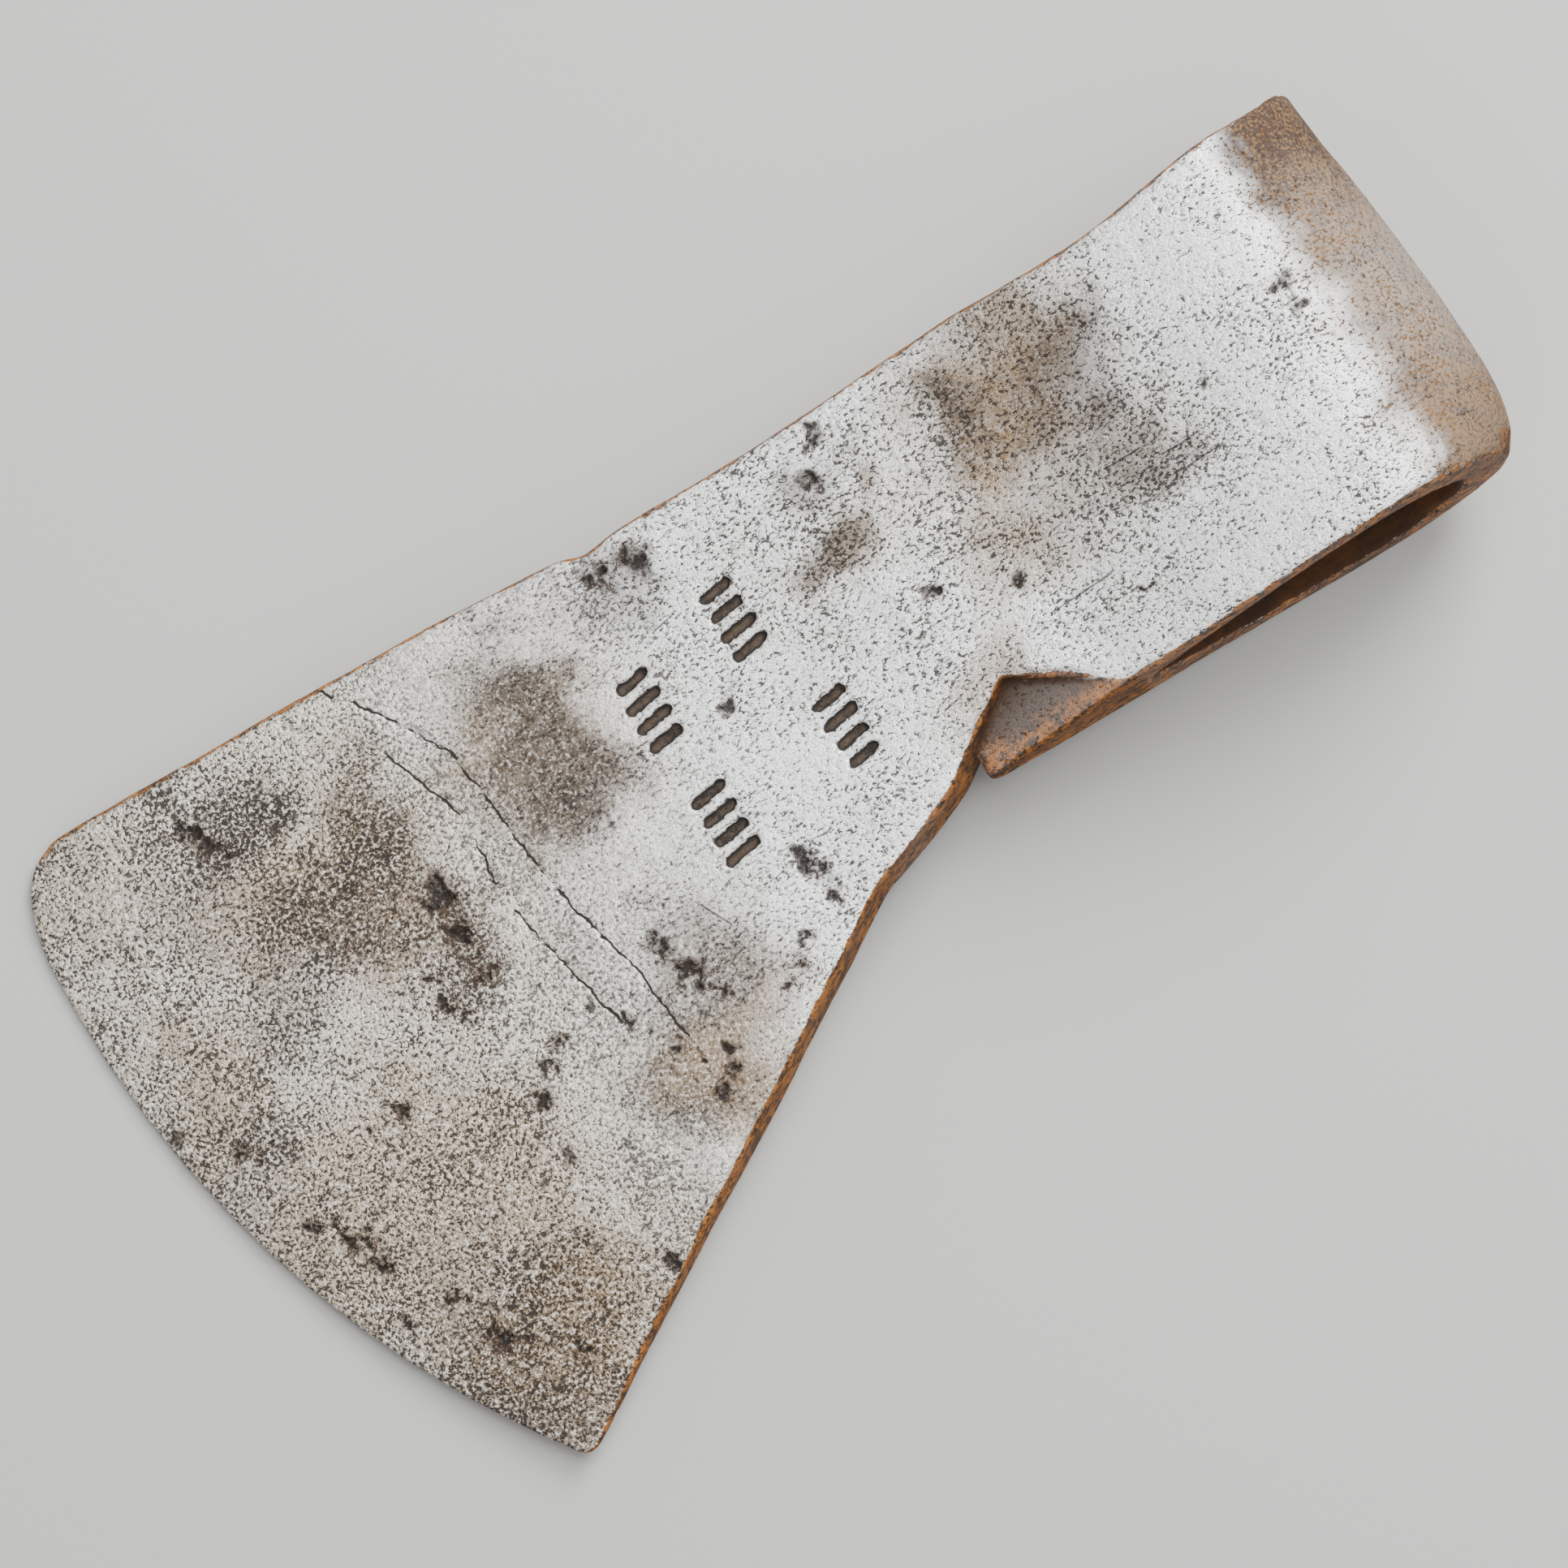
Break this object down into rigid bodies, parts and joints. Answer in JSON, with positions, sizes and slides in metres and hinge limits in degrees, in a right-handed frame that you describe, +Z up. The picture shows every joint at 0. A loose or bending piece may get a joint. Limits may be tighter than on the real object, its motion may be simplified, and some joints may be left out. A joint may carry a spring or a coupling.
{
  "type": "iron trade axe head",
  "caption": "Forged iron axe head with a sleeve round a teardrop haft eye, a notched beard and a flaring blade, lying on its cheek.",
  "frame": {"origin": "on the surface that the head lies on, under the middle of its box", "axes": "+X from the poll to the cutting edge, +Y from the back edge to the beard and parallel to the haft hole, +Z up out of the upper cheek"},
  "size_m": [0.1912, 0.1012, 0.0351],
  "materials": {
    "wrought_iron": "cleaned old wrought iron: pale worn metal, finely pitted, with brown rust in the pits, notch and eye"
  },
  "bodies": {
    "root": {"axe_head": "wrought_iron"}
  },
  "joints": []
}
